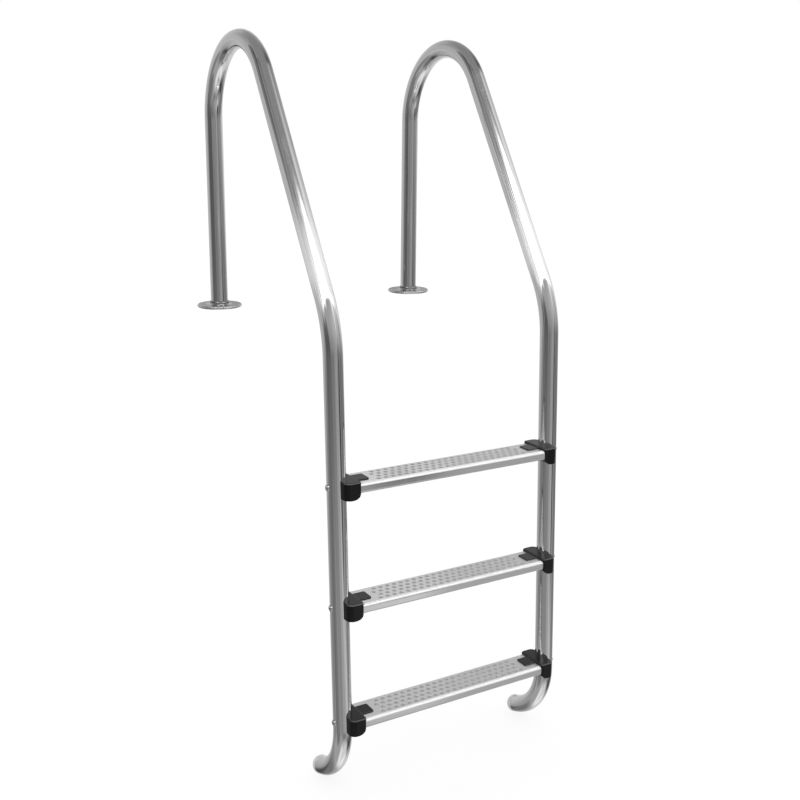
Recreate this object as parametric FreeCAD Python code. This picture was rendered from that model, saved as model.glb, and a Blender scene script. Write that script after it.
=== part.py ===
import FreeCAD, Part
import math
import os

# Three-step pool ladder: two bent tube rails, three pressed treads held by
# moulded end caps, anchor plates under sliding escutcheons, wall bumpers.
# Frame: X across the ladder (left rail at -X), +Y from the pool towards the
# deck, +Z up. Origin: deck level (underside of the anchor plates), midway
# between the axes of the two deck legs. Millimetres and degrees.

V = FreeCAD.Vector
ORIGIN = V(0, 0, 0)
X_DIR = V(1, 0, 0)
Z_DIR = V(0, 0, 1)
TOL = 1e-6                 # for picking edges by their position

# ---- rails ------------------------------------------------------------------
RAIL_SPACING = 500.0       # centre to centre of the two rails
HALF_SPACING = RAIL_SPACING / 2
TUBE_R = 19.0
TUBE_WALL = 1.5
REACH = 560.0              # deck leg axis to the stringer line, over the pool edge
LEG_STRAIGHT = 410.0       # straight part of the deck leg above the deck
TOP_R1 = 160.0             # first radius of the hand-grip bend
TOP_TURN1 = 54.0
TOP_R2 = 144.0             # second, tighter radius
SLOPE = 32.0               # slope of the long diagonal, from vertical
TOP_TURN2 = 180.0 - SLOPE - TOP_TURN1
KNEE_R = 228.0             # bend from the diagonal into the stringer
LEAN = 2.5                 # stringer leans away from the wall by this much
FOOT_Z = -754.0            # where the bottom curl starts
FOOT_R = 138.0
FOOT_TURN = 72.0

# ---- treads -----------------------------------------------------------------
TREAD_NAMES = ("upper", "middle", "lower")
FIRST_TREAD_TOP = -250.0
TREAD_PITCH = 240.0
TREAD_W = 70.0             # front to back
TREAD_H = 19.0
TREAD_T = 1.5
TREAD_R = 6.0              # rolled upper long edges
TREAD_LOW_R = 3.0          # lower long edges
TREAD_LIP = 12.0           # turned-in lower lips
TREAD_END = 24.0           # tread end to rail axis

STUD_R = 5.2               # sphere radius of a pressed stud
STUD_H = 1.3
STUD_SINK = 0.5            # depth of the stud's base in the sheet
STUD_PITCH = 15.5
STUD_ROWS = (-21.0, -7.0, 7.0, 21.0)
STUD_FIELD = 172.0         # half length of the studded field

# ---- tread end caps (x inboard from the rail axis, z up from the tread top) --
CAP_IN = 35.5              # inboard face of the cap body
CAP_OUT = 1.0
CAP_HALF = 37.6            # half depth
CAP_TOP = 4.6
CAP_BOTTOM = -30.0
CAP_ROUND = 18.0           # big lower inboard radius
CAP_PLAN_OUT = 13.0        # plan radius of the corners next to the rail
CAP_PLAN_IN = 7.0          # plan radius of the inboard corners
CAP_EDGE = 3.4             # rolled top edge
CAP_ROOT = 15.0            # where the tongue and lip start, inside the body
TONGUE_L = 62.5            # thin tongue over the tread
TONGUE_HALF = 15.5
TONGUE_TOP = 2.3
TONGUE_CORNER = 3.5
TONGUE_EDGE = 0.9
LIP_L = 43.0               # lower lip under the tread
LIP_HALF = 24.0
LIP_T = 3.6
LIP_CORNER = 3.0
CLEAR = 0.1                # moulding clearance round the tread
SADDLE = 0.06              # clearance of saddles on the tube
RELIEF = 0.35              # wider clearance in the lowest part of a cap's saddle
RELIEF_H = 8.0

# ---- fasteners (x inboard from the rail axis) --------------------------------
BOLT_W = -9.5              # bolt axis from the tread top
BOLT_R = 2.95
BOLT_HOLE_R = 3.3
BOLT_END = 38.0
BOLT_CHAMFER = 0.6
HEAD_R = 6.0               # low button head
HEAD_H = 2.6
HEAD_EDGE = 0.8            # straight edge below the dome
HEAD_DOME_MID = (0.735, 0.62)  # arc middle, as shares of dome height and head radius
HEAD_X = -20.1             # plane under the bolt head
SOCKET_R = 2.3             # hexagon socket, to its corners
SOCKET_DEPTH = 1.7
SADDLE_WASHER_R = HEAD_R + 0.6
SADDLE_WASHER_EDGE = 0.5
WASHER_R = 6.0
WASHER_T = 1.6
WASHER_BORE_R = BOLT_HOLE_R - 0.1
POCKET_R = WASHER_R + 0.4
POCKET_X = 28.0
NUT_AF = 10.0
NUT_H = 5.0
NUT_X = POCKET_X + WASHER_T
NUT_CORNER = 0.35          # cut off the corners at both ends
NUT_BORE_R = BOLT_R + 0.05

# ---- anchor plates ----------------------------------------------------------
PLATE_R = 39.0
PLATE_T = 4.0
PLATE_EDGE = 0.6
PLATE_PCD = 58.0
PLATE_HOLES = 4
PLATE_HOLE_R = 4.5
WELD = 3.2

# ---- escutcheons ------------------------------------------------------------
COVER_R = 50.0
COVER_T = 1.2
COVER_RIM = 7.0            # height of the rolled rim
COVER_TOP = 14.0
COVER_RISE = 1.0           # rise of the top from the rim to the collar flare
COVER_BORE = TUBE_R + 0.08
# Arcs of the collar flare: radius, height above the rim
FLARE_UNDER = ((26.0, COVER_RISE - COVER_T), (22.6, 1.1), (21.2, 3.0))
FLARE_OVER = ((20.4, COVER_TOP - COVER_RIM), (22.2, 3.3), (26.4, COVER_RISE))

# ---- wall bumpers -----------------------------------------------------------
PLUG_NECK = 8.0
PLUG_DOME = 15.5
PLUG_SPIGOT = 12.0
PLUG_SPIGOT_R = 16.8       # short, and slim enough to enter the curved bore
PLUG_LEAD = 2.0            # length of the taper at the spigot's end
PLUG_TAPER = 1.0           # radius lost over that length


# ---- helpers ----------------------------------------------------------------
def rad(degrees):
    return math.radians(degrees)


def moved(shape, x=0.0, y=0.0, z=0.0):
    copy = shape.copy()
    copy.translate(V(x, y, z))
    return copy


def mirrored(shape):
    return shape.mirror(ORIGIN, X_DIR)


def save(name, shape):
    shape.exportStep("parts/%s.step" % name)


def save_pair(name, shape):
    """One copy on each rail."""
    save("left_" + name, moved(shape, -HALF_SPACING))
    save("right_" + name, moved(shape, HALF_SPACING))


def face(start, *steps):
    """Face inside a closed chain; a step is a line's end or an arc's (middle, end)."""
    edges = []
    for step in steps:
        if isinstance(step, tuple):
            middle, end = step
            edges.append(Part.Arc(start, middle, end).toShape())
        else:
            end = step
            edges.append(Part.makeLine(start, end))
        start = end
    return Part.Face(Part.Wire(edges))


def x_cylinder(radius, x, length, z=0.0):
    return Part.makeCylinder(radius, length, V(x, 0, z), X_DIR)


def x_hexagon(x, corner_r, length):
    points = [
        V(x, corner_r * math.cos(rad(60 * i)), corner_r * math.sin(rad(60 * i)))
        for i in range(7)
    ]
    return Part.Face(Part.makePolygon(points)).extrude(V(length, 0, 0))


def edges_where(shape, test):
    """Edges whose bounding box passes the test."""
    return [edge for edge in shape.Edges if test(edge.BoundBox)]


# ---- rail centreline, in the plane of one rail ------------------------------
def left_of(heading):
    return V(0, -math.sin(rad(heading)), math.cos(rad(heading)))


class Path:
    """Tangent chain of lines and left-turning arcs in the YZ plane, from the origin."""

    def __init__(self, heading):
        self.end = ORIGIN
        self.heading = heading
        self.edges = []

    def direction(self):
        return V(0, math.cos(rad(self.heading)), math.sin(rad(self.heading)))

    def line(self, length):
        start = self.end
        self.end = start + self.direction() * length
        self.edges.append(Part.makeLine(start, self.end))

    def arc(self, radius, turn):
        start = self.end
        centre = start + left_of(self.heading) * radius
        middle = centre - left_of(self.heading + turn / 2) * radius
        self.heading += turn
        self.end = centre - left_of(self.heading) * radius
        self.edges.append(Part.Arc(start, middle, self.end).toShape())


def rail_path():
    """The whole centreline, and the lower end of its stringer."""
    path = Path(90.0)
    path.line(LEG_STRAIGHT)
    path.arc(TOP_R1, TOP_TURN1)
    path.arc(TOP_R2, TOP_TURN2)
    # The diagonal stops short of the stringer line by the tangent length
    # of a knee that would turn it to vertical.
    tangent = KNEE_R * math.tan(rad(SLOPE) / 2)
    path.line((path.end.y + REACH) / math.sin(rad(SLOPE)) - tangent)
    path.arc(KNEE_R, SLOPE - LEAN)
    path.line((path.end.z - FOOT_Z) / math.cos(rad(LEAN)))
    stringer_end = path.end
    path.arc(FOOT_R, FOOT_TURN)
    return path, stringer_end


RAIL_PATH, STRINGER_END = rail_path()
LEAN_DIR = V(0, -math.sin(rad(LEAN)), -math.cos(rad(LEAN)))


def stringer_y(z):
    return STRINGER_END.y + (z - STRINGER_END.z) * math.tan(rad(LEAN))


def stringer_cylinder(radius, z):
    """Leaning cylinder whose axis passes through height z on the local Z axis."""
    return Part.makeCylinder(radius, 240, V(0, 0, z) - LEAN_DIR * 120, LEAN_DIR)


# Name, y and top of each tread
TREADS = []
for i, tread_name in enumerate(TREAD_NAMES):
    tread_top = FIRST_TREAD_TOP - i * TREAD_PITCH
    TREADS.append((tread_name, stringer_y(tread_top + BOLT_W), tread_top))


def sweep(radius):
    ring = Part.Wire([Part.makeCircle(radius, ORIGIN, Z_DIR)])
    return Part.Wire(RAIL_PATH.edges).makePipeShell([ring], True, False)


def rail():
    tube = sweep(TUBE_R).cut(sweep(TUBE_R - TUBE_WALL))
    for _, y, top in TREADS:
        tube = tube.cut(moved(x_cylinder(BOLT_HOLE_R, -30, 60), 0, y, top + BOLT_W))
    return tube


# ---- treads -----------------------------------------------------------------
def rounded_rect(half, top, bottom, top_r, bottom_r):
    """Face in the YZ plane, symmetric about Z."""
    # Corner centres and radii, anticlockwise seen from +X
    corners = (
        (half - top_r, top - top_r, top_r),
        (-half + top_r, top - top_r, top_r),
        (-half + bottom_r, bottom + bottom_r, bottom_r),
        (half - bottom_r, bottom + bottom_r, bottom_r),
    )
    steps = []
    for i, (y, z, radius) in enumerate(corners):
        start, middle, end = [
            V(0, y + radius * math.cos(rad(angle)), z + radius * math.sin(rad(angle)))
            for angle in (90 * i, 90 * i + 45, 90 * i + 90)
        ]
        steps += [start, (middle, end)]
    return face(*steps, steps[0])


def channel(x_start, x_end, grow=0.0):
    """Pressed C-channel sheet, grown all round by grow."""
    half = TREAD_W / 2
    length = x_end - x_start
    inset = TREAD_T + grow
    outer = rounded_rect(
        half + grow, grow, -TREAD_H - grow, TREAD_R + grow, TREAD_LOW_R + grow
    )
    inner = rounded_rect(
        half - inset, -inset, -TREAD_H + inset, TREAD_R - inset, TREAD_LOW_R - inset
    )
    sheet = outer.extrude(V(length, 0, 0)).cut(inner.extrude(V(length, 0, 0)))
    # open the underside between the lips
    gap = half - TREAD_LIP - grow
    opening = Part.makeBox(length, 2 * gap, inset + grow + 2, V(0, -gap, -TREAD_H - grow - 1))
    return moved(sheet.cut(opening), x_start)


def tread():
    half = HALF_SPACING - TREAD_END
    body = channel(-half, half)
    studs = []
    base_angle = math.degrees(math.asin((STUD_R - STUD_H - STUD_SINK) / STUD_R))
    count = int(STUD_FIELD // STUD_PITCH)
    for row, y in enumerate(STUD_ROWS):
        shift = 0.5 if row % 2 else 0.0    # alternate rows are staggered
        for i in range(-count, count + 1):
            x = (i + shift) * STUD_PITCH
            if abs(x) <= STUD_FIELD:
                centre = V(x, y, STUD_H - STUD_R)
                studs.append(Part.makeSphere(STUD_R, centre, Z_DIR, base_angle, 90, 360))
    return body.multiFuse(studs)


# ---- tread end caps ---------------------------------------------------------
def cap_body():
    # side outline with the large lower inboard radius, extruded along Y
    y = -CAP_HALF
    inset = CAP_ROUND * (1 - math.sqrt(0.5))
    side = face(
        V(CAP_OUT, y, CAP_BOTTOM),
        V(CAP_OUT, y, CAP_TOP),
        V(CAP_IN, y, CAP_TOP),
        V(CAP_IN, y, CAP_BOTTOM + CAP_ROUND),
        (V(CAP_IN - inset, y, CAP_BOTTOM + inset), V(CAP_IN - CAP_ROUND, y, CAP_BOTTOM)),
        V(CAP_OUT, y, CAP_BOTTOM),
    )
    body = side.extrude(V(0, 2 * CAP_HALF, 0))
    # rounded plan corners, larger beside the rail
    plan = Part.makeBox(CAP_IN - CAP_OUT, 2 * CAP_HALF, 60, V(CAP_OUT, y, -45))
    plan = plan.makeFillet(CAP_PLAN_IN, edges_where(
        plan, lambda box: box.ZLength > 50 and abs(box.XMin - CAP_IN) < TOL))
    plan = plan.makeFillet(CAP_PLAN_OUT, edges_where(
        plan, lambda box: box.ZLength > 50 and box.XMax < CAP_OUT + TOL))
    body = body.common(plan)
    return body.makeFillet(CAP_EDGE, edges_where(body, lambda box: box.ZMin > CAP_TOP - TOL))


def cap_plate(end, half, bottom, thickness, corner):
    """Flat plate reaching inboard from the body, with rounded end corners."""
    plate = Part.makeBox(end - CAP_ROOT, 2 * half, thickness, V(CAP_ROOT, -half, bottom))
    return plate.makeFillet(corner, edges_where(
        plate, lambda box: abs(box.XMin - end) < TOL and box.ZLength > 1))


def cap():
    body = cap_body()
    tongue = cap_plate(TONGUE_L, TONGUE_HALF, CLEAR, TONGUE_TOP - CLEAR, TONGUE_CORNER)
    tongue = tongue.makeFillet(TONGUE_EDGE, edges_where(
        tongue, lambda box: box.ZMin > TONGUE_TOP - TOL and box.XMax > CAP_ROOT + 1))
    lip = cap_plate(LIP_L, LIP_HALF, -TREAD_H - CLEAR - LIP_T, LIP_T, LIP_CORNER)
    body = body.fuse([tongue, lip])
    # slot for the end of the tread sheet
    body = body.cut(channel(TREAD_END - CLEAR, 80.0, CLEAR))
    # saddle on the leaning tube
    body = body.cut(stringer_cylinder(TUBE_R + SADDLE, BOLT_W))
    # relief where the lowest caps reach the start of the bottom curl
    wide = stringer_cylinder(TUBE_R + RELIEF, BOLT_W)
    wide = wide.common(Part.makeBox(80, 80, RELIEF_H, V(-40, -40, CAP_BOTTOM)))
    body = body.cut(wide)
    # bolt hole and nut pocket
    body = body.cut(x_cylinder(BOLT_HOLE_R, -10, 80, BOLT_W))
    body = body.cut(x_cylinder(POCKET_R, POCKET_X, 20, BOLT_W))
    return body.removeSplitter()


# ---- fasteners: bolt, saddle washer, washer and nut at each joint -----------
def bolt():
    """Domed head with a flat seat and hexagon socket, plain shank."""
    edge_x = HEAD_X - HEAD_EDGE
    crown_x = HEAD_X - HEAD_H
    rise, spread = HEAD_DOME_MID
    middle = V(edge_x - rise * (HEAD_H - HEAD_EDGE), HEAD_R * spread, 0)
    head = face(
        V(HEAD_X, 0, 0),
        V(HEAD_X, HEAD_R, 0),
        V(edge_x, HEAD_R, 0),
        (middle, V(crown_x, 0, 0)),
        V(HEAD_X, 0, 0),
    ).revolve(ORIGIN, X_DIR, 360)
    socket = x_hexagon(crown_x - 1, SOCKET_R, SOCKET_DEPTH + 1)
    shank = x_cylinder(BOLT_R, HEAD_X, BOLT_END - HEAD_X)
    shank = shank.makeChamfer(BOLT_CHAMFER, edges_where(
        shank, lambda box: abs(box.XMin - BOLT_END) < TOL))
    return head.cut(socket).fuse(shank).removeSplitter()


def saddle_washer():
    """Collar between the bolt head and the tube."""
    collar = x_cylinder(SADDLE_WASHER_R, HEAD_X, 12)
    collar = collar.makeFillet(SADDLE_WASHER_EDGE, edges_where(
        collar, lambda box: abs(box.XMax - HEAD_X) < TOL))
    collar = collar.cut(x_cylinder(BOLT_HOLE_R, HEAD_X - 2, 20))
    return collar.cut(stringer_cylinder(TUBE_R + SADDLE, 0))


def nut_washer():
    disc = x_cylinder(WASHER_R, POCKET_X, WASHER_T)
    return disc.cut(x_cylinder(WASHER_BORE_R, POCKET_X - 1, WASHER_T + 2))


def nut():
    corner_r = NUT_AF / 2 / math.cos(rad(30))
    body = x_hexagon(NUT_X, corner_r, NUT_H)
    # 45 degree cones take the corners off both ends
    small = corner_r - NUT_CORNER
    large = small + NUT_H
    widening = Part.makeCone(small, large, NUT_H, V(NUT_X, 0, 0), X_DIR)
    narrowing = Part.makeCone(large, small, NUT_H, V(NUT_X, 0, 0), X_DIR)
    body = body.common(widening).common(narrowing)
    return body.cut(x_cylinder(NUT_BORE_R, NUT_X - 5, 20))


def at_joints(shape):
    """The shape at both ends of every tread."""
    shapes = []
    for _, y, top in TREADS:
        left = moved(shape, -HALF_SPACING, y, top + BOLT_W)
        shapes += [left, mirrored(left)]
    return Part.makeCompound(shapes)


# ---- anchor plate, welded round the foot of a deck leg ----------------------
def anchor_plate():
    plate = face(
        V(TUBE_R, 0, 0),
        V(PLATE_R, 0, 0),
        V(PLATE_R, 0, PLATE_T - PLATE_EDGE),
        V(PLATE_R - PLATE_EDGE, 0, PLATE_T),
        V(TUBE_R + WELD, 0, PLATE_T),
        V(TUBE_R, 0, PLATE_T + WELD),
        V(TUBE_R, 0, 0),
    ).revolve(ORIGIN, Z_DIR, 360)
    for i in range(PLATE_HOLES):
        angle = rad(45 + 360 / PLATE_HOLES * i)
        x = PLATE_PCD / 2 * math.cos(angle)
        y = PLATE_PCD / 2 * math.sin(angle)
        plate = plate.cut(Part.makeCylinder(PLATE_HOLE_R, 20, V(x, y, -5)))
    return plate


# ---- escutcheon, a cover that slides on a deck leg --------------------------
def escutcheon():
    """Spun sheet: rim rolled under, nearly flat top, flared collar on the leg."""
    roll = COVER_RIM / 2             # outer radius of the rolled rim
    roll_x = COVER_R - roll
    under = [V(radius, 0, COVER_RIM + height) for radius, height in FLARE_UNDER]
    over = [V(radius, 0, COVER_RIM + height) for radius, height in FLARE_OVER]
    return face(
        V(roll_x, 0, COVER_RIM),
        (V(COVER_R, 0, roll), V(roll_x, 0, 0)),
        V(roll_x, 0, COVER_T),
        (V(COVER_R - COVER_T, 0, roll), V(roll_x, 0, COVER_RIM - COVER_T)),
        under[0],
        (under[1], under[2]),
        V(COVER_BORE, 0, under[2].z),
        V(COVER_BORE, 0, COVER_TOP),
        over[0],
        (over[1], over[2]),
        V(roll_x, 0, COVER_RIM),
    ).revolve(ORIGIN, Z_DIR, 360)


# ---- wall bumper, a plug in the curled lower end of a rail ------------------
def bumper():
    """Revolved about X, then turned onto the tube end."""
    sphere = (TUBE_R ** 2 + PLUG_DOME ** 2) / (2 * PLUG_DOME)
    half_angle = math.acos((sphere - PLUG_DOME) / sphere) / 2
    tip = PLUG_NECK + PLUG_DOME
    dome_middle = V(
        tip - sphere * (1 - math.cos(half_angle)), sphere * math.sin(half_angle), 0
    )
    plug = face(
        V(-PLUG_SPIGOT, 0, 0),
        V(-PLUG_SPIGOT, PLUG_SPIGOT_R - PLUG_TAPER, 0),
        V(-PLUG_SPIGOT + PLUG_LEAD, PLUG_SPIGOT_R, 0),
        V(0, PLUG_SPIGOT_R, 0),
        V(0, TUBE_R, 0),
        V(PLUG_NECK, TUBE_R, 0),
        (dome_middle, V(tip, 0, 0)),
        V(-PLUG_SPIGOT, 0, 0),
    ).revolve(ORIGIN, X_DIR, 360)
    turn = FreeCAD.Rotation(X_DIR, RAIL_PATH.direction())
    plug.Placement = FreeCAD.Placement(RAIL_PATH.end, turn)
    return plug


# ---- write the pieces -------------------------------------------------------
os.makedirs("parts", exist_ok=True)

save_pair("rail", rail())
save_pair("anchor_plate", anchor_plate())
save_pair("escutcheon", escutcheon())
save_pair("wall_bumper", bumper())

tread_shape = tread()
left_cap = cap()
right_cap = mirrored(left_cap)
for name, y, top in TREADS:
    save(name + "_tread", moved(tread_shape, 0, y, top))
    save(name + "_left_tread_cap", moved(left_cap, -HALF_SPACING, y, top))
    save(name + "_right_tread_cap", moved(right_cap, HALF_SPACING, y, top))

save("tread_bolts", at_joints(bolt()))
save("rail_saddle_washers", at_joints(saddle_washer()))
save("tread_nut_washers", at_joints(nut_washer()))
save("tread_nuts", at_joints(nut()))
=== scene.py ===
"""A stainless pool ladder: two bent tube rails, three pressed treads, covers and wall bumpers.

The deck is z = 0 and X runs along the treads. The rails rise from the deck at y = 0, arch over
towards -Y, run down below the deck and turn back to +Y at the foot. Metres, +Z up. "Left" is -X,
as seen from the front (-Y), where the camera stands.
"""
import bpy, bmesh, math
import numpy as np
from math import radians as rad
from mathutils import Vector, Matrix


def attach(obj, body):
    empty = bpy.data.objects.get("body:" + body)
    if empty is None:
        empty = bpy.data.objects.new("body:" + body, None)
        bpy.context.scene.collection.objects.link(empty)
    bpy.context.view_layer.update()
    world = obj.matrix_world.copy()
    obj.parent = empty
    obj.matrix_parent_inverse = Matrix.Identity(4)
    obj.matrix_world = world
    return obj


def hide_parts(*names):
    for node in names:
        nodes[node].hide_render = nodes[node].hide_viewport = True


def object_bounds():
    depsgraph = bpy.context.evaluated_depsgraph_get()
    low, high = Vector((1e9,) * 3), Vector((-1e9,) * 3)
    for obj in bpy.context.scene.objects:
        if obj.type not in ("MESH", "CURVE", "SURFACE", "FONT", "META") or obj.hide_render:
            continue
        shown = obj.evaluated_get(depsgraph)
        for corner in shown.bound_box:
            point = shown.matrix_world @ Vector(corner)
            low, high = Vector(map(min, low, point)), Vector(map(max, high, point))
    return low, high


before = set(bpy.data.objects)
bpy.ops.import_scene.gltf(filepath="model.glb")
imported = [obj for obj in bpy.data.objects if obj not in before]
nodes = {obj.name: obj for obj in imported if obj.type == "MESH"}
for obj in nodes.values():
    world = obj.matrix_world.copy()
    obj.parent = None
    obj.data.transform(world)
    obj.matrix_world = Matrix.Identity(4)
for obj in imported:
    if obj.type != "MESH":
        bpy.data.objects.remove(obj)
cad_lo, cad_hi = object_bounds()
scene = bpy.context.scene

# --------------------------------------------------------------------------
# driving sizes, the same as the CAD
# --------------------------------------------------------------------------
HALF_SPAN = 0.250                     # centre of the ladder to each rail's centreline
TUBE_R, TUBE_WALL = 0.019, 0.0015
LEG_Y, LEG_LENGTH = 0.0, 0.410        # the upright leg standing on the deck
REACH = 0.560                         # leg to where the slope and the vertical line cross
ARCH_R1, ARCH_TURN1, ARCH_R2 = 0.160, rad(54), 0.144
SLOPE, KNEE_R, LEAN = rad(32), 0.228, rad(2.5)  # both angles measured from vertical
FOOT_Z, FOOT_R, FOOT_TURN = -0.754, 0.138, rad(72)

TREAD_NAMES = ("upper", "middle", "lower")
TOP_TREAD_Z, TREAD_PITCH = -0.250, 0.240
TREAD_HALF_WIDTH, TREAD_DEPTH, TREAD_SHEET = 0.035, 0.019, 0.0015
TREAD_TOP_R, TREAD_BOTTOM_R = 0.006, 0.003      # outer corner radii of the section
TREAD_LIP = 0.012                     # width of the lips turned in underneath
TREAD_END_GAP = 0.024                 # sheet end to rail centreline
BOLT_DROP = TREAD_DEPTH / 2           # tread top down to the bolt line


# --------------------------------------------------------------------------
# outlines and meshes
# --------------------------------------------------------------------------
def line_points(start, end, steps):
    """steps + 1 points along a straight line."""
    return [(start[0] + (end[0] - start[0]) * (k / steps),
             start[1] + (end[1] - start[1]) * (k / steps)) for k in range(steps + 1)]


def arc_points(centre, radius, start, end, steps):
    """steps + 1 points along an arc between two angles."""
    angles = [start + (end - start) * k / steps for k in range(steps + 1)]
    return [(centre[0] + radius * math.cos(a), centre[1] + radius * math.sin(a)) for a in angles]


def arc_through(first, middle, last, steps):
    """steps + 1 points of the arc through three points."""
    (ax, ay), (bx, by), (cx, cy) = first, middle, last
    a2, b2, c2 = ax * ax + ay * ay, bx * bx + by * by, cx * cx + cy * cy
    d = 2 * (ax * (by - cy) + bx * (cy - ay) + cx * (ay - by))
    x = (a2 * (by - cy) + b2 * (cy - ay) + c2 * (ay - by)) / d
    y = (a2 * (cx - bx) + b2 * (ax - cx) + c2 * (bx - ax)) / d
    angles = np.unwrap([math.atan2(v - y, u - x) for u, v in (first, middle, last)])
    return arc_points((x, y), math.hypot(ax - x, ay - y), angles[0], angles[2], steps)


def grid_faces(rows, cols, offset=0, flip=False):
    """Quads of a rows x cols vertex grid."""
    faces = []
    for i in range(rows - 1):
        for j in range(cols - 1):
            a = offset + i * cols + j
            b, c, d = a + 1, a + cols + 1, a + cols
            faces.append((a, d, c, b) if flip else (a, b, c, d))
    return faces


def make_object(name, verts, faces, uvs, sharp):
    """Smooth-shaded object with one UV per vertex; edges over sharp degrees stay hard."""
    mesh = bpy.data.meshes.new(name)
    mesh.from_pydata([tuple(v) for v in verts], [], faces)
    mesh.validate()
    layer = mesh.uv_layers.new(name="UVMap")
    corner_verts = np.zeros(len(mesh.loops), np.int32)
    mesh.loops.foreach_get("vertex_index", corner_verts)
    layer.data.foreach_set("uv", np.asarray(uvs, np.float32)[corner_verts].ravel())
    mesh.polygons.foreach_set("use_smooth", np.ones(len(mesh.polygons), bool))
    mesh.set_sharp_from_angle(angle=rad(sharp))
    mesh.update()
    obj = bpy.data.objects.new(name, mesh)
    scene.collection.objects.link(obj)
    return obj


def lathe(name, profile, origin, axis, sides, sharp):
    """Revolve a closed (radius, height) profile; a point on the axis becomes one vertex."""
    verts, uvs, rings = [], [], []
    run, previous = 0.0, profile[0]
    for radius, height in profile:
        run += math.hypot(radius - previous[0], height - previous[1])
        previous = (radius, height)
        count = 1 if radius < 1e-9 else sides
        rings.append([len(verts) + k % count for k in range(sides)])
        for k in range(count):
            turn = 2 * math.pi * k / sides
            verts.append((radius * math.cos(turn), radius * math.sin(turn), height))
            uvs.append((turn * radius, run))
    faces = []
    for ring, following in zip(rings, rings[1:] + rings[:1]):
        for k in range(sides):
            n = (k + 1) % sides
            corners = tuple(dict.fromkeys((ring[k], ring[n], following[n], following[k])))
            if len(corners) > 2:
                faces.append(corners)
    turned = Vector((0, 0, 1)).rotation_difference(Vector(axis).normalized()).to_matrix()
    verts = [turned @ Vector(v) + Vector(origin) for v in verts]
    obj = make_object(name, verts, faces, uvs, sharp)
    bm = bmesh.new()
    bm.from_mesh(obj.data)
    bmesh.ops.recalc_face_normals(bm, faces=bm.faces)
    bm.to_mesh(obj.data)
    bm.free()
    return obj


# --------------------------------------------------------------------------
# rails: a tube swept along the centreline
# --------------------------------------------------------------------------
RAIL_SIDES = 96
CUT_EDGE = 0.0006    # chamfer round the cut ends


class Path:
    """Centreline in the YZ plane; each point is (y, z, heading, distance run)."""
    def __init__(self, y, z, heading):
        self.y, self.z, self.heading, self.run = y, z, heading, 0.0
        self.points = [(y, z, heading, 0.0)]

    def advance(self, direction, chord, turn, run):
        self.y += math.cos(direction) * chord
        self.z += math.sin(direction) * chord
        self.heading += turn
        self.run += run
        self.points.append((self.y, self.z, self.heading, self.run))

    def line(self, length, step=0.02):
        count = max(1, int(math.ceil(length / step)))
        for _ in range(count):
            self.advance(self.heading, length / count, 0.0, length / count)

    def arc(self, radius, turn, step=rad(1.5)):
        count = max(4, int(math.ceil(abs(turn) / step)))
        part = turn / count
        chord = 2 * radius * math.sin(abs(part) / 2)
        for _ in range(count):
            self.advance(self.heading + part / 2, chord, part, radius * abs(part))


def rail_path():
    """Points of the whole rail, and the point where the foot bend begins."""
    path = Path(LEG_Y, 0.0, rad(90))
    path.line(LEG_LENGTH)
    path.arc(ARCH_R1, ARCH_TURN1)
    path.arc(ARCH_R2, math.pi - SLOPE - ARCH_TURN1)
    path.line((path.y - (LEG_Y - REACH)) / math.sin(SLOPE) - KNEE_R * math.tan(SLOPE / 2))
    path.arc(KNEE_R, SLOPE - LEAN)
    path.line((path.z - FOOT_Z) / math.cos(LEAN))
    foot_start = path.points[-1]
    path.arc(FOOT_R, FOOT_TURN)
    return path.points, foot_start


RAIL_POINTS, FOOT_START = rail_path()


def stringer_y(z):
    """Y of the centreline on the straight lower run of the rail."""
    return FOOT_START[0] + (z - FOOT_START[1]) * math.tan(LEAN)


def moved_along(point, distance):
    y, z, heading, run = point
    return (y + math.cos(heading) * distance, z + math.sin(heading) * distance,
            heading, run + distance)


def tube_ring(x, point, radius):
    """Ring of vertices round a path point."""
    y, z, heading, _ = point
    turn = np.linspace(0, 2 * math.pi, RAIL_SIDES, endpoint=False)
    normal_y, normal_z = -math.sin(heading), math.cos(heading)
    return np.stack([radius * np.cos(turn) + x,
                     y + radius * np.sin(turn) * normal_y,
                     z + radius * np.sin(turn) * normal_z], 1)


def build_rail(name, x):
    first, *between, last = RAIL_POINTS
    # the outer skin with its chamfered ends, then back through the bore
    rows = [(first, TUBE_R - CUT_EDGE), (moved_along(first, CUT_EDGE), TUBE_R)]
    rows += [(point, TUBE_R) for point in between]
    rows += [(moved_along(last, -CUT_EDGE), TUBE_R), (last, TUBE_R - CUT_EDGE)]
    rows += [(point, TUBE_R - TUBE_WALL) for point in reversed(RAIL_POINTS)]
    around = np.linspace(0, 1, RAIL_SIDES, endpoint=False) * 2 * math.pi * TUBE_R
    verts = np.concatenate([tube_ring(x, point, radius) for point, radius in rows])
    uvs = np.concatenate([np.stack([around, np.full(RAIL_SIDES, point[3])], 1)
                          for point, _ in rows])
    faces = []
    for i in range(len(rows)):
        here, there = i * RAIL_SIDES, (i + 1) % len(rows) * RAIL_SIDES
        for j in range(RAIL_SIDES):
            n = (j + 1) % RAIL_SIDES
            faces.append((here + j, there + j, there + n, here + n))
    return make_object(name, verts, faces, uvs, sharp=40)


# --------------------------------------------------------------------------
# treads: a channel of pressed sheet, open below, with studs pushed up in its top
# --------------------------------------------------------------------------
STUD_PITCH, STUD_FIELD = 0.0155, 0.172          # spacing along X, half length of the field
STUD_ROWS = (-0.021, -0.007, 0.007, 0.021)      # y of each row; every second one is staggered
STUD_R, STUD_H = 0.0049, 0.0018
TREAD_STATIONS = 380                            # vertices along the tread


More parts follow.
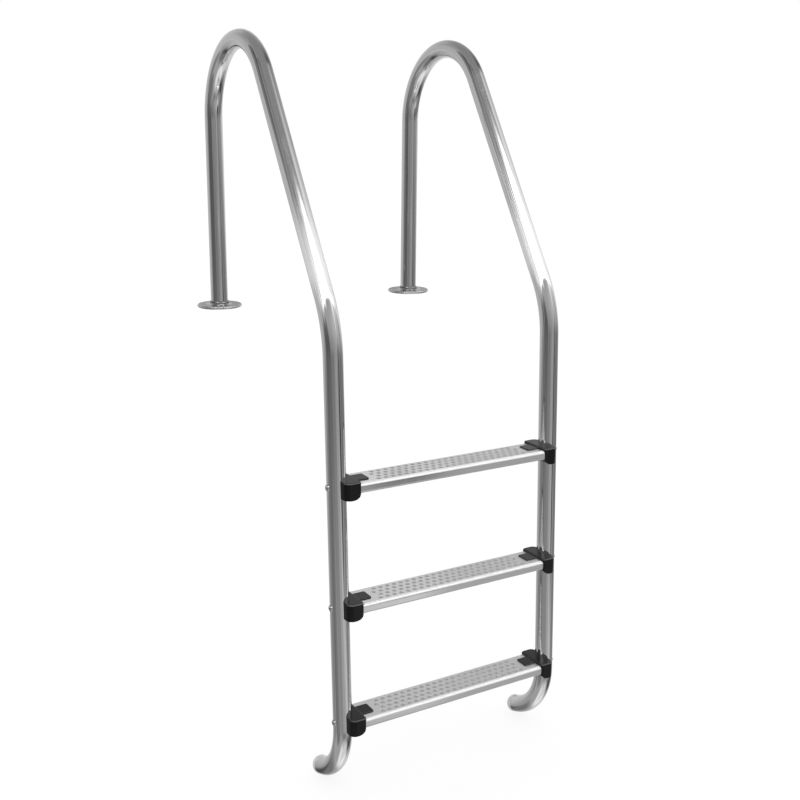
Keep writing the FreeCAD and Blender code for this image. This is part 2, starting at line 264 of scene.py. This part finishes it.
def stud_centres():
    reach = int(STUD_FIELD // STUD_PITCH)
    centres = []
    for row, y in enumerate(STUD_ROWS):
        for i in range(-reach, reach + 1):
            x = (i + (0.5 if row % 2 else 0.0)) * STUD_PITCH
            if abs(x) <= STUD_FIELD:
                centres.append((x, y))
    return centres


def stud_height(x, y):
    """Height of the pressed pattern at arrays x, y (local to the tread)."""
    height = np.zeros_like(x)
    for stud_x, stud_y in stud_centres():
        near = (np.abs(x - stud_x) < STUD_R) & (np.abs(y - stud_y) < STUD_R)
        if not near.any():
            continue
        d = np.clip(np.hypot(x[near] - stud_x, y[near] - stud_y) / STUD_R, 0, 1)
        # a rounded crown that blends into the sheet
        height[near] = np.maximum(height[near], STUD_H * (1 - d * d) ** 1.3)
    return height


def tread_section():
    """Outer (y, z) line of the channel, from the +Y lip over the top to the -Y lip."""
    side, bottom = TREAD_HALF_WIDTH, -TREAD_DEPTH
    lip = side - TREAD_LIP
    top_y, low_y = side - TREAD_TOP_R, side - TREAD_BOTTOM_R    # corner centres
    top_z, low_z = -TREAD_TOP_R, bottom + TREAD_BOTTOM_R
    quarter = math.pi / 2
    pieces = [
        line_points((lip, bottom), (low_y, bottom), 4),
        arc_points((low_y, low_z), TREAD_BOTTOM_R, -quarter, 0, 8),
        line_points((side, low_z), (side, top_z), 6),
        arc_points((top_y, top_z), TREAD_TOP_R, 0, quarter, 18),
        line_points((top_y, 0.0), (-top_y, 0.0), 58),
        arc_points((-top_y, top_z), TREAD_TOP_R, quarter, math.pi, 18),
        line_points((-side, top_z), (-side, low_z), 6),
        arc_points((-low_y, low_z), TREAD_BOTTOM_R, math.pi, 3 * quarter, 8),
        line_points((-low_y, bottom), (-lip, bottom), 4),
    ]
    # each piece ends where the next begins
    return np.array([p for piece in pieces for p in piece[:-1]] + pieces[-1][-1:])


def build_tread(name, top):
    y_centre = stringer_y(top - BOLT_DROP)
    outer = tread_section()
    tangent = np.gradient(outer, axis=0)
    tangent /= np.hypot(*tangent.T)[:, None]
    inward = np.stack([-tangent[:, 1], tangent[:, 0]], 1)
    inner = outer + inward * TREAD_SHEET
    run = np.append(0, np.cumsum(np.hypot(*np.diff(outer, axis=0).T)))
    half_length = HALF_SPAN - TREAD_END_GAP
    stations = np.linspace(-half_length, half_length, TREAD_STATIONS)
    x, y = np.meshgrid(stations, outer[:, 0], indexing="ij")
    on_top = (outer[:, 1] > -1e-6)[None, :]
    studs = np.where(on_top, stud_height(x.ravel(), y.ravel()).reshape(x.shape), 0.0)

    def skin(line):
        y_line = np.broadcast_to(line[:, 0][None, :], x.shape)
        z_line = line[:, 1][None, :] + studs + top
        return np.stack([x, y_line + y_centre, z_line], -1).reshape(-1, 3)

    verts = np.concatenate([skin(outer), skin(inner)])
    uv = np.stack([x, np.broadcast_to(run[None, :], x.shape)], -1).reshape(-1, 2)
    cols = len(outer)
    inner_start = TREAD_STATIONS * cols
    faces = grid_faces(TREAD_STATIONS, cols)
    faces += grid_faces(TREAD_STATIONS, cols, offset=inner_start, flip=True)

    def bridge(a, b):
        """Quad across the sheet's thickness."""
        faces.append((a, b, inner_start + b, inner_start + a))

    for i in range(TREAD_STATIONS - 1):  # long edges of the two lips
        a, b = i * cols, (i + 1) * cols
        bridge(a, b)
        bridge(b + cols - 1, a + cols - 1)
    last_row = (TREAD_STATIONS - 1) * cols
    for j in range(cols - 1):            # the two cut ends
        bridge(j + 1, j)
        bridge(last_row + j, last_row + j + 1)
    return make_object(name, verts, faces, np.concatenate([uv, uv]), sharp=50)


# --------------------------------------------------------------------------
# turned pieces
# --------------------------------------------------------------------------
COVER_R, COVER_SHEET, COVER_H = 0.050, 0.0012, 0.007
COVER_BORE = TUBE_R + 0.00008
COLLAR_TOP, COLLAR_CHAMFER = 0.014, 0.0003


def build_escutcheon(name, x):
    """Deck cover: rolled rim, nearly flat top with a faint step, flared collar."""
    rim_r = COVER_H / 2
    rim = (COVER_R - rim_r, rim_r)
    under = COVER_H - COVER_SHEET
    neck_z = COVER_H + 0.003
    flare_foot = (0.026, under + 0.001)
    quarter = math.pi / 2
    profile = arc_points(rim, rim_r, quarter, -quarter, 32)
    profile += arc_points(rim, rim_r - COVER_SHEET, -quarter, quarter, 24)
    profile += [(0.0365, under + 0.0005)]
    profile += arc_through(flare_foot, (0.0226, COVER_H + 0.0011), (0.0212, neck_z), 12)
    profile += [(COVER_BORE, neck_z), (COVER_BORE, COLLAR_TOP - COLLAR_CHAMFER),
                (COVER_BORE + COLLAR_CHAMFER, COLLAR_TOP), (0.0202, COLLAR_TOP)]
    profile += arc_through((0.0204, COLLAR_TOP - 0.0002), (0.0222, COVER_H + 0.0033),
                           (0.0264, COVER_H + 0.001), 22)
    # the faint step, then the nearly flat top
    profile += [(0.0300, COVER_H + 0.0008), (0.0304, COVER_H + 0.00055),
                (0.0310, COVER_H + 0.0005), (0.038, COVER_H + 0.0003)]
    return lathe(name, profile, (x, LEG_Y, 0), (0, 0, 1), sides=160, sharp=35)


BUMPER_NECK, BUMPER_DOME = 0.008, 0.0155   # length of the neck, height of the dome on it
SPIGOT_LENGTH, SPIGOT_R = 0.012, 0.0168    # the part inside the tube
GROOVE_DEPTH = 0.0005


def build_bumper(name, x):
    """Plug in the foot of a rail: spigot, grooved neck and spherical dome."""
    sphere = (TUBE_R * TUBE_R + BUMPER_DOME * BUMPER_DOME) / (2 * BUMPER_DOME)
    half_angle = math.acos((sphere - BUMPER_DOME) / sphere)
    profile = [
        (0, -SPIGOT_LENGTH), (SPIGOT_R - 0.001, -SPIGOT_LENGTH),
        (SPIGOT_R, -SPIGOT_LENGTH + 0.002), (SPIGOT_R, 0.0), (TUBE_R - 0.0004, 0.0),
        (TUBE_R, 0.0004),
        # shallow groove
        (TUBE_R, 0.0022), (TUBE_R - GROOVE_DEPTH, 0.0026), (TUBE_R - GROOVE_DEPTH, 0.0032),
        (TUBE_R, 0.0036), (TUBE_R, BUMPER_NECK - 0.0005),
    ]
    profile += arc_points((0, BUMPER_NECK + BUMPER_DOME - sphere), sphere,
                          math.pi / 2 - half_angle, math.pi / 2, 24)
    y, z, heading, _ = RAIL_POINTS[-1]
    axis = (0, math.cos(heading), math.sin(heading))
    return lathe(name, profile, (x, y, z), axis, sides=96, sharp=30)


# --------------------------------------------------------------------------
# shader graphs
# --------------------------------------------------------------------------
def grey(level):
    return (level, level, level, 1)


class Graph:
    """The emptied node tree of a material or world; an input takes a value or a socket."""
    def __init__(self, owner):
        owner.use_nodes = True
        self.tree = owner.node_tree
        self.tree.nodes.clear()

    def put(self, socket, value):
        if isinstance(value, bpy.types.NodeSocket):
            self.tree.links.new(value, socket)
        else:
            socket.default_value = value

    def add(self, kind, inputs=None, **settings):
        new = self.tree.nodes.new("ShaderNode" + kind)
        for key, value in settings.items():
            setattr(new, key, value)
        for key, value in (inputs or {}).items():
            self.put(new.inputs[key], value)
        return new

    def math(self, operation, *values, clamp=False):
        return self.add("Math", dict(enumerate(values)), operation=operation,
                        use_clamp=clamp).outputs[0]

    def mul(self, a, b):
        return self.math("MULTIPLY", a, b)

    def scaled(self, value, by, plus, clamp=False):
        return self.math("MULTIPLY_ADD", value, by, plus, clamp=clamp)

    def smooth(self, value, start, end, low=0.0, high=1.0):
        """Smooth step from low at start to high at end."""
        return self.add("MapRange", {"Value": value, "From Min": start, "From Max": end,
                                     "To Min": low, "To Max": high},
                        interpolation_type="SMOOTHSTEP").outputs["Result"]

    def ramp(self, value, stops):
        """Grey ramp; stops are (position, level)."""
        new = self.add("ValToRGB", {0: value})
        elements = new.color_ramp.elements
        while len(elements) < len(stops):
            elements.new(0.5)
        for element, (position, level) in zip(elements, stops):
            element.position = position
            element.color = grey(level)
        return new.outputs[0]

    def noise(self, vector, scale, detail, roughness=0.5):
        return self.add("TexNoise", {"Vector": vector, "Scale": scale, "Detail": detail,
                                     "Roughness": roughness}).outputs[0]

    def stretched(self, vector, scale):
        return self.add("Mapping", {0: vector, "Scale": scale}).outputs[0]

    def split(self, vector):
        return self.add("SeparateXYZ", {0: vector}).outputs

    def blend(self, factor, start, end):
        return self.add("Mix", {"Factor": factor, "A": start, "B": end},
                        data_type="RGBA").outputs["Result"]

    def bump(self, height, strength, distance, normal=None):
        new = self.add("Bump", {"Height": height, "Strength": strength, "Distance": distance})
        if normal is not None:
            self.put(new.inputs["Normal"], normal)
        return new.outputs[0]


def new_material(name):
    material = bpy.data.materials.new(name)
    graph = Graph(material)
    output = graph.add("OutputMaterial")
    bsdf = graph.add("BsdfPrincipled")
    graph.put(output.inputs[0], bsdf.outputs[0])
    return material, graph, bsdf


# --------------------------------------------------------------------------
# materials
# --------------------------------------------------------------------------
def corner_highlights_mask(graph, uv, cloud, bands, fade=0.0012):
    """Bands of V, soft at both sides and broken up by the cloud."""
    v = graph.split(uv)[1]
    mask = None
    for low, high in bands:
        rise = graph.smooth(v, low - fade, low + fade)
        fall = graph.smooth(v, high - fade, high + fade)
        band = graph.mul(rise, graph.math("SUBTRACT", 1.0, fall))
        mask = band if mask is None else graph.math("MAXIMUM", mask, band)
    return graph.mul(mask, graph.scaled(cloud, by=0.5, plus=0.72, clamp=True))


def highlight_band_mask(graph, uv, cloud, rise, fall, amount):
    """One band of V with its own rise and fall."""
    v = graph.split(uv)[1]
    band = graph.math("SUBTRACT", graph.smooth(v, *rise), graph.smooth(v, *fall), clamp=True)
    return graph.mul(band, graph.scaled(cloud, by=0.6 * amount, plus=0.7 * amount, clamp=True))


def polished_steel(name, colour, rough, line_scale, line_amount, use_uv=True, smudge=0.05,
                   wave=0.0, metallic=1.0, streak=0.0, corner_highlights=None, run=None, highlight_band=None,
                   collar_shade=None):
    """Stainless steel: faint polishing lines, soft smears, tiny dried spots.

    corner_highlights: (low, high) bands of V painted pale and less metallic, a painted
    highlight.  rubbed: arguments of highlight_band_mask, a band of V painted pale as a
    highlight.
    run: roughness added along X.  sheared: painted shade, dark grey above a height (start, end,
    level).
    """
    material, graph, bsdf = new_material(name)
    coords = graph.add("TexCoord").outputs
    lines = graph.noise(graph.stretched(coords["UV" if use_uv else "Object"], line_scale),
                        scale=1.0, detail=4.0, roughness=0.6)
    cloud = graph.noise(coords["Object"], scale=9.0, detail=5.0, roughness=0.55)
    cells = graph.add("TexVoronoi", {"Vector": coords["Object"], "Scale": 160.0})
    spot = graph.ramp(cells.outputs["Distance"], [(0.0, 1.0), (0.07, 0.8), (0.10, 0.0)])
    smear = graph.ramp(cloud, [(0.55, 0.0), (0.70, 1.0)])
    dried = graph.mul(spot, smear)

    roughness = graph.scaled(lines, by=line_amount * 0.12, plus=rough - line_amount * 0.06)
    roughness = graph.scaled(smear, by=smudge, plus=roughness)
    roughness = graph.scaled(dried, by=0.10, plus=roughness, clamp=True)
    if run:  # handling marks: duller towards one end
        duller = graph.smooth(graph.split(coords["Object"])[0], **run)
        roughness = graph.math("ADD", roughness, duller, clamp=True)
    graph.put(bsdf.inputs["Roughness"], roughness)

    # very slight darkening in the smears
    tint = graph.blend(graph.mul(cloud, 0.7), (*colour, 1), (*[c * 0.93 for c in colour], 1))
    bsdf.inputs["Metallic"].default_value = metallic
    painted_highlights = []  # painted highlights: mask, pale level, share of the metallic look lost
    if corner_highlights:  # painted highlight: the long rounded edges made pale and less metallic
        painted_highlights.append((corner_highlights_mask(graph, coords["UV"], cloud, corner_highlights), 0.97, 0.80))
    if highlight_band:   # painted highlight: a band of V made pale and non-metallic
        painted_highlights.append((highlight_band_mask(graph, coords["UV"], cloud, **highlight_band), 0.95, 1.0))
    for mask, level, loss in painted_highlights:
        tint = graph.blend(mask, tint, grey(level))
        graph.put(bsdf.inputs["Metallic"],
                  graph.scaled(mask, by=-metallic * loss, plus=metallic))
    if collar_shade:  # painted shade: the collar's flare and top darkened to grey to hide their reflection
        start, end, level = collar_shade
        height = graph.split(coords["Object"])[2]
        tint = graph.blend(graph.smooth(height, start, end), tint, grey(level))
    graph.put(bsdf.inputs["Base Color"], tint)

    normal = graph.bump(lines, strength=line_amount, distance=0.00002)
    if wave:     # slow unevenness of the sheet
        slow = graph.noise(coords["Object"], scale=26.0, detail=1.0)
        normal = graph.bump(slow, strength=wave, distance=0.0004, normal=normal)
    if streak:   # long shallow draw marks of the tube mill
        along = graph.stretched(coords["UV"], (300.0, 1.6, 1.0))
        draw = graph.noise(along, scale=1.0, detail=2.0)
        normal = graph.bump(draw, strength=streak, distance=0.0001, normal=normal)
    graph.put(bsdf.inputs["Normal"], normal)
    return material


def moulded_plastic(name, colour, rough, lift, spec=0.5, rolled=None):
    """Moulded polymer: fine grain, slow flow variation, edges worn paler.

    lift: how much paler the worn colour is.  rolled: grey of the painted highlight on the upper
    rounded edges.
    """
    material, graph, bsdf = new_material(name)
    coords = graph.add("TexCoord").outputs
    grain = graph.noise(coords["Object"], scale=900.0, detail=3.0, roughness=0.7)
    slow = graph.noise(coords["Object"], scale=28.0, detail=4.0)
    normal = graph.add("NewGeometry").outputs["Normal"]
    bevel = graph.add("Bevel", {"Radius": 0.0012}, samples=6)
    agreement = graph.add("VectorMath", {0: bevel.outputs[0], 1: normal},
                          operation="DOT_PRODUCT").outputs["Value"]
    edge = graph.ramp(agreement, [(0.80, 1.0), (0.97, 0.0)])
    wear = graph.mul(edge, graph.ramp(slow, [(0.35, 0.3), (0.65, 1.0)]))
    worn = [min(1, c * lift + 0.004) for c in colour]
    factor = graph.scaled(slow, by=0.35, plus=graph.mul(wear, 0.8), clamp=True)
    tint = graph.blend(factor, (*colour, 1), (*worn, 1))
    if rolled is not None:  # painted highlight: the upper rounded edges made paler, most of all where they face -Y
        facing = graph.split(normal)
        tilt = graph.ramp(facing[2], [(0.15, 0.0), (0.45, 1.0), (0.86, 1.0), (0.985, 0.0)])
        edge_sheen = graph.mul(tilt, graph.ramp(slow, [(0.30, 0.55), (0.60, 1.0)]))
        front = graph.ramp(graph.mul(facing[1], -1.0), [(0.10, 0.25), (0.45, 1.0)])
        tint = graph.blend(graph.mul(edge_sheen, front), tint, grey(rolled))
    graph.put(bsdf.inputs["Base Color"], tint)
    roughness = graph.scaled(grain, by=0.16, plus=rough - 0.08)
    roughness = graph.scaled(wear, by=-0.10, plus=roughness, clamp=True)
    graph.put(bsdf.inputs["Roughness"], roughness)
    bsdf.inputs["Specular IOR Level"].default_value = spec
    graph.put(bsdf.inputs["Normal"], graph.bump(grain, strength=0.25, distance=0.00008))
    return material


RAIL_STEEL = polished_steel(
    "polished_rail", colour=(0.76, 0.76, 0.765), rough=0.075, line_scale=(900, 14, 1),
    line_amount=0.35, wave=0.05, streak=0.40,
    # V is the distance along the rail: a painted highlight on the stretch just above the knee
    highlight_band=dict(rise=(1.06, 1.19), fall=(1.225, 1.30), amount=0.50))
TREAD_STEEL = polished_steel(
    "pressed_tread", colour=(0.84, 0.84, 0.845), rough=0.15, line_scale=(10, 1100, 1),
    line_amount=0.6, smudge=0.06, wave=0.25, metallic=0.90,
    # V is the distance round the section: painted highlights on its two upper corners
    corner_highlights=[(0.0245, 0.0325), (0.0915, 0.0995)],
    run=dict(start=-0.11, end=0.06, low=0.0, high=0.26))
COVER_STEEL = polished_steel(
    "escutcheon", colour=(0.66, 0.66, 0.665), rough=0.17, line_scale=(6, 500, 1),
    # painted shade on the collar's flare and top
    line_amount=0.08, collar_shade=(0.0088, 0.0108, 0.22))
FASTENER_STEEL = polished_steel(
    "fasteners", colour=(0.70, 0.70, 0.705), rough=0.18, line_scale=(500, 500, 500),
    line_amount=0.4, use_uv=False, smudge=0.08)
PLATE_STEEL = polished_steel(
    "anchor_plate", colour=(0.66, 0.66, 0.665), rough=0.30, line_scale=(60, 900, 60),
    line_amount=0.8, use_uv=False, smudge=0.10)
CAP_PLASTIC = moulded_plastic(
    # rolled: painted highlight on the caps' upper rounded edges
    "black_cap", colour=(0.0022, 0.0022, 0.0024), rough=0.26, lift=1.2, spec=0.34, rolled=0.10)
BUMPER_PLASTIC = moulded_plastic(
    "wall_bumper", colour=(0.60, 0.605, 0.61), rough=0.45, lift=1.10)


# --------------------------------------------------------------------------
# pieces
# --------------------------------------------------------------------------
def assign(obj, material):
    obj.data.materials.clear()
    obj.data.materials.append(material)


def place(obj, body, material, replaced):
    assign(obj, material)
    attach(obj, body)
    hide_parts(replaced)


for side, x in (("left", -HALF_SPAN), ("right", HALF_SPAN)):
    place(build_rail(side + "_rail_tube", x),
          "ladder", RAIL_STEEL, side + "_rail")
    place(build_escutcheon(side + "_escutcheon_cover", x),
          side + "_cover", COVER_STEEL, side + "_escutcheon")
    place(build_bumper(side + "_bumper_plug", x),
          "ladder", BUMPER_PLASTIC, side + "_wall_bumper")
for i, part in enumerate(TREAD_NAMES):
    place(build_tread(part + "_tread_sheet", TOP_TREAD_Z - i * TREAD_PITCH),
          "ladder", TREAD_STEEL, part + "_tread")

# CAD pieces kept as they are, with a material
for name in ("tread_bolts", "rail_saddle_washers", "tread_nut_washers", "tread_nuts"):
    assign(nodes[name], FASTENER_STEEL)
for side in ("left", "right"):
    assign(nodes[side + "_anchor_plate"], PLATE_STEEL)
for part in TREAD_NAMES:
    for side in ("left", "right"):
        assign(nodes[f"{part}_{side}_tread_cap"], CAP_PLASTIC)


# --------------------------------------------------------------------------
# floor
# --------------------------------------------------------------------------
FLOOR_HALF, FLOOR_CELLS = 30.0, 24
FLOOR_GAP = 0.0005    # below the lowest point of the CAD


def floor_material():
    """Pale and self-lit from above, clear from below so the underside can be looked at."""
    material = bpy.data.materials.new("studio_floor")
    graph = Graph(material)
    output = graph.add("OutputMaterial")
    diffuse = graph.add("BsdfDiffuse", {"Color": grey(0.16)})
    glow = graph.add("Emission", {"Color": grey(1), "Strength": 0.84})
    lit = graph.add("AddShader", {0: diffuse.outputs[0], 1: glow.outputs[0]})
    clear = graph.add("BsdfTransparent")
    behind = graph.add("NewGeometry").outputs["Backfacing"]
    one_sided = graph.add("MixShader", {0: behind, 1: lit.outputs[0], 2: clear.outputs[0]})
    graph.put(output.inputs[0], one_sided.outputs[0])
    return material


def build_floor():
    z = cad_lo.z - FLOOR_GAP
    ticks = [-FLOOR_HALF + 2 * FLOOR_HALF * i / FLOOR_CELLS for i in range(FLOOR_CELLS + 1)]
    mesh = bpy.data.meshes.new("studio_floor")
    mesh.from_pydata([(x, y, z) for x in ticks for y in ticks], [],
                     grid_faces(len(ticks), len(ticks), flip=True))
    floor = bpy.data.objects.new("studio_floor", mesh)
    scene.collection.objects.link(floor)
    mesh.materials.append(floor_material())
    floor.visible_glossy = False
    floor.visible_diffuse = False


build_floor()

# --------------------------------------------------------------------------
# world: a studio for reflections, soft light for diffuse rays, white for the camera
# --------------------------------------------------------------------------
# Round soft boxes (positive level) and dark flags (negative), in degrees:
# azimuth (0 is +Y, 90 is +X), elevation, half-angle of the full part, outer half-angle, level
PANELS = [
    (-134, -60, 52, 120, -0.47), (95, 8, 14, 59, -0.49), (121, 21, 3, 38, 1.12),
    (82, 12, 1, 23, 0.51), (-68, 32, 16, 20, -0.29), (-100, -12, 27, 34, -0.20),
    (-112, 34, 4, 7, 1.44), (-53, -21, 11, 15, -0.20), (122, 12, 2, 30, -0.76),
    (-92, 19, 1, 14, 0.39), (-146, -18, 10, 22, -0.13), (106, -44, 14, 18, -0.24),
    (62, 2, 1, 16, 0.44), (-8, -27, 21, 32, -0.15), (-103, 43, 12, 17, -0.14),
    (-72, 11, 9, 12, 0.23), (150, -8, 11, 14, -0.16), (-28, 22, 2, 29, -0.19),
    (-134, 41, 2, 11, 0.97), (144, 19, 5, 20, -0.29), (178, -66, 14, 34, 0.70),
    (146, -15, 5, 9, -0.38), (155, -25, 11, 17, 0.16), (-80, -11, 19, 25, -0.04),
    (81, -18, 4, 10, -0.21), (21, 86, 41, 47, -0.06), (31, 16, 30, 36, -0.10),
    (-123, -22, 4, 10, 0.09), (101, 11, 2, 13, -0.50), (98, 18, 13, 19, 0.13),
    (-73, 30, 13, 19, -0.07), (157, -57, 7, 38, -0.35), (-166, -7, 4, 10, -0.06),
    (-99, 24, 3, 10, 0.32), (143, 0, 6, 12, -0.12), (95, -66, 10, 24, 0.36),
    (-28, -55, 12, 26, -0.22), (52, -45, 8, 20, 0.16), (-165, -42, 8, 16, -0.18),
    (26, 8, 6, 11, -0.30), (31, 18, 4, 8, 0.12), (146, -25, 3, 7, 0.10),
    (148, -31, 4, 9, 0.10),
]
STRIP_LEVEL = 5.0
DARKEST = 0.04


def room_light(graph, dz):
    """Mid grey overhead, lighter walls and floor."""
    return graph.math("ADD", graph.smooth(dz, start=0.95, end=0.25, low=0.335, high=0.745),
                      graph.smooth(dz, start=0.10, end=-0.40, low=0.0, high=0.158))


def strip_light(graph, dy, dz):
    """Long overhead strip parallel to X, on the -Y side of the ladder."""
    front = graph.mul(dy, -1.0)
    # 0.10 and 0.02 keep the ratio finite near the horizon to either side
    depth = graph.math("MAXIMUM", graph.math("ADD", front, 0.10), 0.02)
    ratio = graph.math("DIVIDE", dz, depth)
    band = graph.mul(graph.smooth(ratio, start=0.87, end=1.11),
                     graph.smooth(ratio, start=1.39, end=1.09))
    band = graph.mul(band, graph.smooth(front, start=0.15, end=0.545))
    return graph.mul(band, STRIP_LEVEL)


def panel_light(graph, direction, azimuth, elevation, inner, outer, level):
    a, e = rad(azimuth), rad(elevation)
    aim = (math.sin(a) * math.cos(e), math.cos(a) * math.cos(e), math.sin(e))
    facing = graph.add("VectorMath", {0: direction, 1: aim}, operation="DOT_PRODUCT")
    return graph.smooth(facing.outputs["Value"], start=math.cos(rad(outer)),
                        end=math.cos(rad(inner)), low=0.0, high=level)


def build_world():
    world = bpy.data.worlds.new("studio")
    scene.world = world
    graph = Graph(world)
    output = graph.add("OutputWorld")
    direction = graph.add("TexCoord").outputs["Generated"]
    _, dy, dz = graph.split(direction)
    room = room_light(graph, dz)
    lights = [strip_light(graph, dy, dz)]
    lights += [panel_light(graph, direction, *panel) for panel in PANELS]
    total = room
    for light in lights:
        total = graph.math("ADD", total, light)
    studio = graph.add("Background", {"Color": graph.math("MAXIMUM", total, DARKEST)})
    soft_level = graph.smooth(dz, start=-0.6, end=0.8, low=0.70, high=1.15)
    soft = graph.add("Background", {"Color": soft_level})
    white = graph.add("Background", {"Color": grey(1)})
    ray = graph.add("LightPath").outputs
    lit = graph.add("MixShader", {0: ray["Is Glossy Ray"], 1: soft.outputs[0],
                                  2: studio.outputs[0]})
    seen = graph.add("MixShader", {0: ray["Is Camera Ray"], 1: lit.outputs[0],
                                   2: white.outputs[0]})
    graph.put(output.inputs[0], seen.outputs[0])


build_world()

scene.view_settings.view_transform = "Standard"
scene.view_settings.look = "None"
scene.view_settings.exposure = 0.0
scene.view_settings.gamma = 1.0

# --------------------------------------------------------------------------
# camera
# --------------------------------------------------------------------------
CAMERA_AT = (-1.120, -2.2497, 0.3877)
CAMERA_YAW = rad(29.858)      # from +Y towards +X
CAMERA_PITCH = rad(14.312)    # downwards
CAMERA_ROLL = rad(0.294)      # right side raised
SENSOR_WIDTH, LENS = 36.0, 47.68515   # millimetres
LENS_SHIFT = (0.02475, 0.00175)       # shares of the picture width


def build_camera():
    data = bpy.data.cameras.new("camera")
    camera = bpy.data.objects.new("camera", data)
    scene.collection.objects.link(camera)
    scene.camera = camera
    data.sensor_width = SENSOR_WIDTH
    data.lens = LENS
    data.shift_x, data.shift_y = LENS_SHIFT
    data.clip_start, data.clip_end = 0.02, 200.0
    forward = Vector((math.sin(CAMERA_YAW) * math.cos(CAMERA_PITCH),
                      math.cos(CAMERA_YAW) * math.cos(CAMERA_PITCH), -math.sin(CAMERA_PITCH)))
    level_right = Vector((math.cos(CAMERA_YAW), -math.sin(CAMERA_YAW), 0))
    level_up = level_right.cross(forward)
    right = level_right * math.cos(CAMERA_ROLL) + level_up * math.sin(CAMERA_ROLL)
    up = right.cross(forward)
    matrix = Matrix((right, up, -forward)).transposed().to_4x4()
    matrix.translation = Vector(CAMERA_AT)
    camera.matrix_world = matrix


build_camera()
